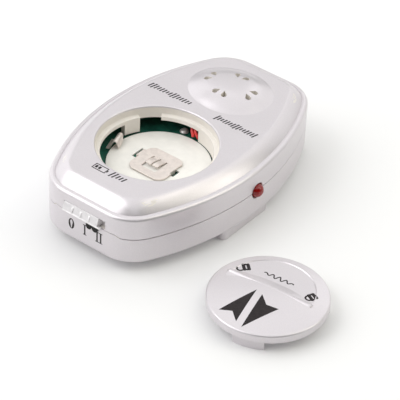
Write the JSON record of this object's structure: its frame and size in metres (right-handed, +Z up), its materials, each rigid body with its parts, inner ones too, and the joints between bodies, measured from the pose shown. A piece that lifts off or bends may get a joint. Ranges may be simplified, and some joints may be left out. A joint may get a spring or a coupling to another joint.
{
  "type": "ultrasonic pest repeller",
  "caption": "Pocket clip-on pest repeller with a domed sounder, round coin-cell well, slide switch, red lamp and a bayonet battery cover laid beside it.",
  "frame": {"origin": "centre of the body's plan outline, on the ground plane under the belt clip", "axes": "+Z up out of the battery well, -Y towards the slide switch, +Y towards the sounder dome, +X towards the lamp"},
  "size_m": [0.0694, 0.062, 0.0173],
  "materials": {
    "silver_plastic": "satin silver paint on moulded plastic",
    "pale_plastic": "unpainted moulded plastic",
    "board_green": "green solder mask over glass laminate",
    "cream_sheet": "smooth insulating sheet",
    "nickel": "nickel-plated spring sheet",
    "steel": "bright steel",
    "brass": "plain brass",
    "ceramic": "fired silver-faced ceramic",
    "red_plastic": "wire insulation",
    "red_lens": "dark red clear lens",
    "solder": "solder",
    "copper": "enamelled copper winding",
    "black_plastic": "black moulded plastic"
  },
  "bodies": {
    "housing": {"top_housing": "silver_plastic", "bottom_housing": "silver_plastic", "circuit_board": "board_green", "insulating_disc": "cream_sheet", "negative_contact": "nickel", "positive_contact": "nickel", "sounder_plate": "brass", "sounder_ceramic": "ceramic", "sounder_wire_a": "red_plastic", "sounder_wire_b": "red_plastic", "wire_solder_joint": "solder", "switch_case": "steel", "switch_base": "black_plastic", "led_lamp": "red_lens", "led_leg_a": "steel", "led_leg_b": "steel", "driver_chip": "black_plastic", "transistor": "black_plastic", "boost_coil": "copper", "reservoir_capacitor": "black_plastic", "timing_capacitor": "ceramic", "resistor_a": "black_plastic", "resistor_b": "black_plastic", "housing_screw_1": "steel", "housing_screw_2": "steel", "housing_screw_3": "steel", "housing_screw_4": "steel", "clip_pin": "steel"},
    "slider": {"slide_knob": "pale_plastic", "switch_lever": "black_plastic"},
    "clip": {"belt_clip": "silver_plastic", "clip_spring": "steel"},
    "cover": {"battery_cover": "silver_plastic"}
  },
  "joints": [
    {"name": "switch_slide", "type": "slide", "parent": "housing", "child": "slider", "axis": [1, 0, 0], "range_m": [0, 0.0016]},
    {"name": "clip_hinge", "type": "hinge", "parent": "housing", "child": "clip", "pos_m": [0.0117, -0.00135, 0.0011], "axis": [0, -1, 0], "range_deg": [0, 20], "stiffness_Nm_per_rad": 0.02, "springref_deg": -17.19},
    {"name": "cover_lift", "type": "slide", "parent": "housing", "child": "cover", "axis": [0, 0, 1], "range_m": [0, 0.03]}
  ]
}
